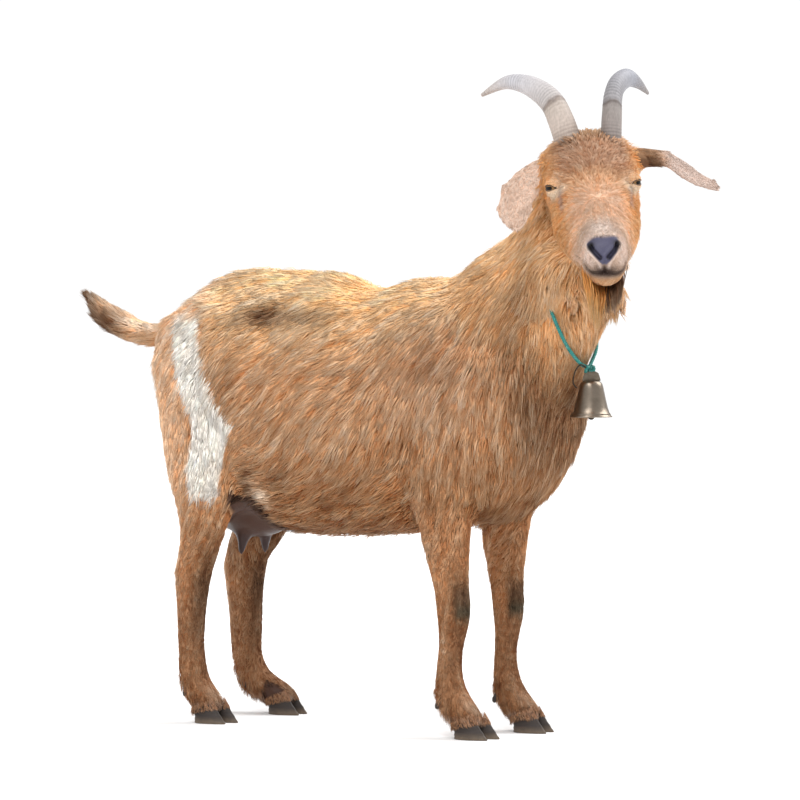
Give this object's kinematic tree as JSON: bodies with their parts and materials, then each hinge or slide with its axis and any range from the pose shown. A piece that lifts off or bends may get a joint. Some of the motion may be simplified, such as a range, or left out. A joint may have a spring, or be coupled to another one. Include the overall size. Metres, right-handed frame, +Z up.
{
  "type": "goat",
  "caption": "Standing tan goat with curved horns and drooping ears, head turned to its right, wearing a teal cord collar and a hanging metal bell.",
  "frame": {"origin": "the middle of the bounding box in plan, on the floor under the hooves", "axes": "+X forward from tail to breast, +Y towards the goat's own left, +Z up"},
  "size_m": [1.1914, 0.3752, 1.0484],
  "materials": {
    "coat": "warm tan hair over skin, golden along the back",
    "udder": "dark bare skin with fine short hair",
    "eye": "wet pale amber iris with a level black slot",
    "horn": "light grey-beige horn, cross-ringed, satin",
    "hoof": "dark worn horn, dull",
    "cord": "teal braided cord, a little frayed",
    "bell_metal": "worn brushed silver-brown metal",
    "strap_metal": "grey-tan metal, dull",
    "dark_iron": "dark rusty iron"
  },
  "bodies": {
    "root": {"trunk": "coat", "neck": "coat", "head": "coat", "eye_left": "eye", "eye_right": "eye", "horn_left": "horn", "horn_right": "horn", "ear_left": "coat", "ear_right": "coat", "beard": "coat", "wattle_right": "coat", "wattle_left": "coat", "fore_leg_right": "coat", "fore_claw_right_inner": "hoof", "fore_dewclaw_right_inner": "hoof", "fore_claw_right_outer": "hoof", "fore_dewclaw_right_outer": "hoof", "fore_leg_left": "coat", "fore_claw_left_inner": "hoof", "fore_dewclaw_left_inner": "hoof", "fore_claw_left_outer": "hoof", "fore_dewclaw_left_outer": "hoof", "hind_leg_right": "coat", "hind_claw_right_inner": "hoof", "hind_dewclaw_right_inner": "hoof", "hind_claw_right_outer": "hoof", "hind_dewclaw_right_outer": "hoof", "hind_leg_left": "coat", "hind_claw_left_inner": "hoof", "hind_dewclaw_left_inner": "hoof", "hind_claw_left_outer": "hoof", "hind_dewclaw_left_outer": "hoof", "tail": "coat", "udder": "udder", "collar": "cord", "collar_knot": "cord", "bell": "bell_metal", "bell_strap": "strap_metal", "bell_clapper": "dark_iron", "bell_wire": "dark_iron"}
  },
  "joints": []
}
